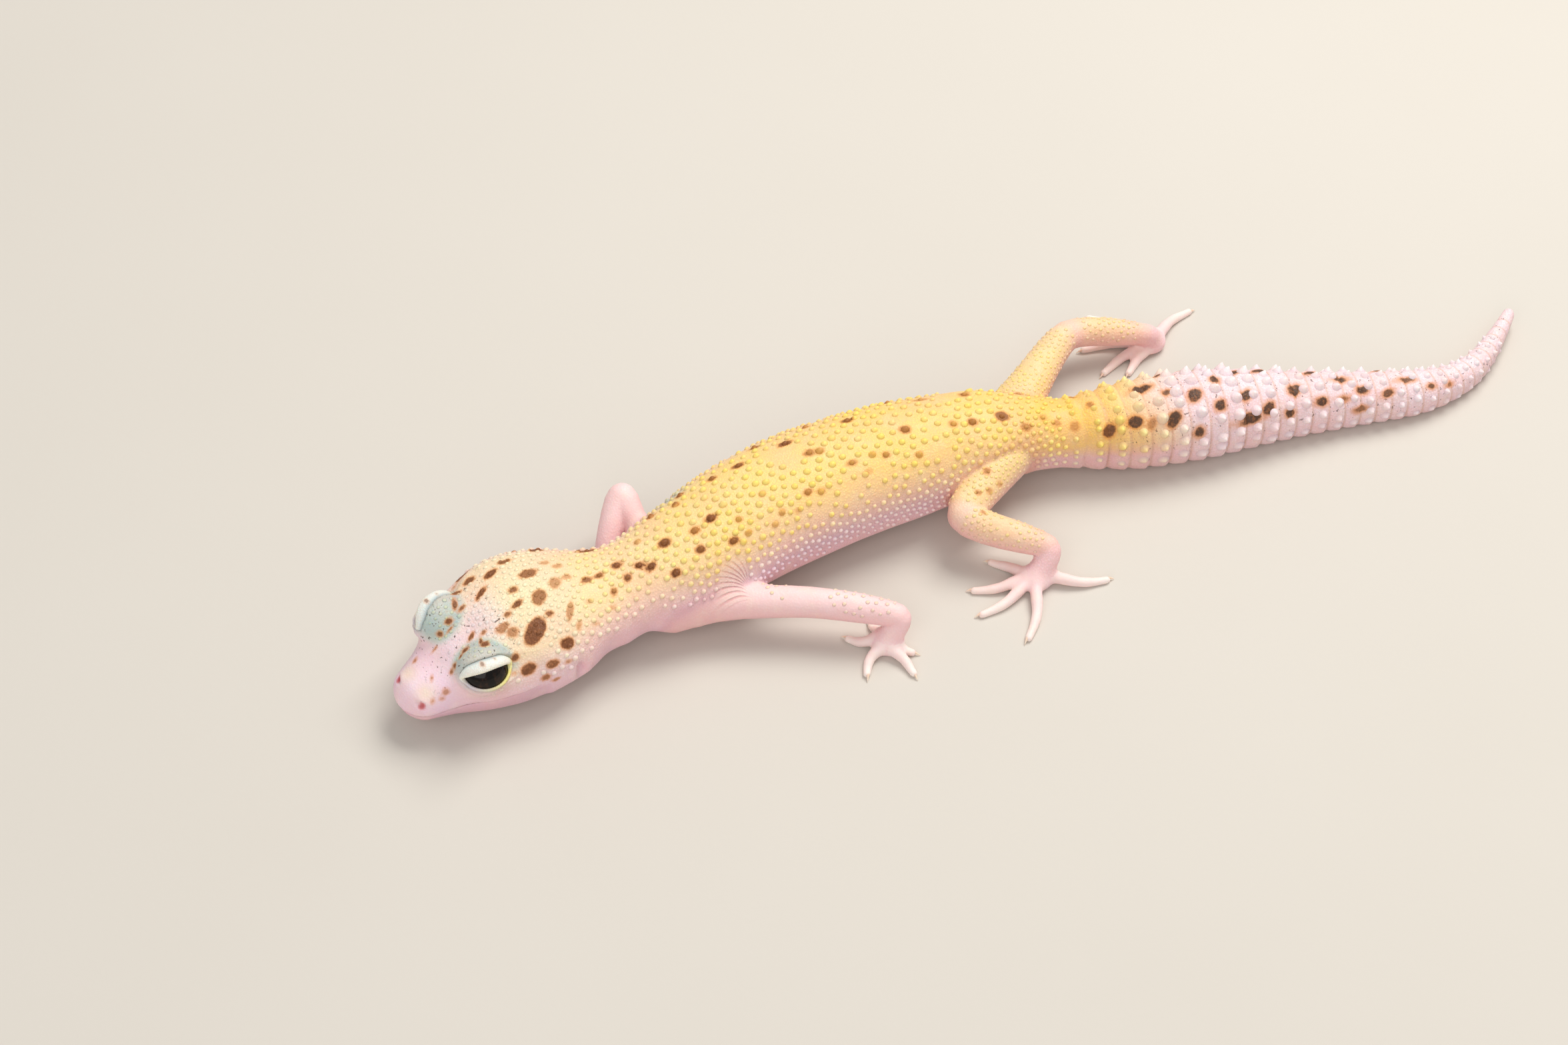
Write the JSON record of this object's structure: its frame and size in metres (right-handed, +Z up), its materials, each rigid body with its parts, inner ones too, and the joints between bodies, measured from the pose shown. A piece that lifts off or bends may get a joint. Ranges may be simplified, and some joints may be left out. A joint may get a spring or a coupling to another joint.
{
  "type": "leopard gecko",
  "caption": "Life-size leopard gecko walking with its tail curved to one side, a still display model with a spotted yellow back and a pale ringed tail.",
  "frame": {"origin": "middle of the model's box, on the floor", "axes": "+Z up, -Y towards the snout, +Y along the tail, +X the animal's left"},
  "size_m": [0.0548, 0.188, 0.0165],
  "materials": {
    "back_skin": "soft, finely granular",
    "head_skin": "soft, finely granular",
    "limb_skin": "soft, nearly smooth",
    "tail_skin": "soft, ringed",
    "eye": "wet gloss",
    "claw_horn": "satin"
  },
  "bodies": {
    "root": {"head": "head_skin", "left_eye": "eye", "left_foot": "limb_skin", "left_foot_claw_1": "claw_horn", "left_foot_claw_2": "claw_horn", "left_foot_claw_3": "claw_horn", "left_foot_claw_4": "claw_horn", "left_foot_claw_5": "claw_horn", "left_forearm": "limb_skin", "left_hand": "limb_skin", "left_hand_claw_1": "claw_horn", "left_hand_claw_2": "claw_horn", "left_hand_claw_3": "claw_horn", "left_hand_claw_4": "claw_horn", "left_hand_claw_5": "claw_horn", "left_shank": "limb_skin", "left_thigh": "limb_skin", "left_upper_arm": "limb_skin", "lower_jaw": "limb_skin", "neck": "back_skin", "right_eye": "eye", "right_foot": "limb_skin", "right_foot_claw_1": "claw_horn", "right_foot_claw_2": "claw_horn", "right_foot_claw_3": "claw_horn", "right_foot_claw_4": "claw_horn", "right_foot_claw_5": "claw_horn", "right_forearm": "limb_skin", "right_hand": "limb_skin", "right_hand_claw_1": "claw_horn", "right_hand_claw_2": "claw_horn", "right_hand_claw_3": "claw_horn", "right_hand_claw_4": "claw_horn", "right_hand_claw_5": "claw_horn", "right_shank": "limb_skin", "right_thigh": "limb_skin", "right_upper_arm": "limb_skin", "tail_base": "tail_skin", "tail_end": "tail_skin", "tail_middle": "tail_skin", "trunk_front": "back_skin", "trunk_rear": "back_skin"}
  },
  "joints": []
}
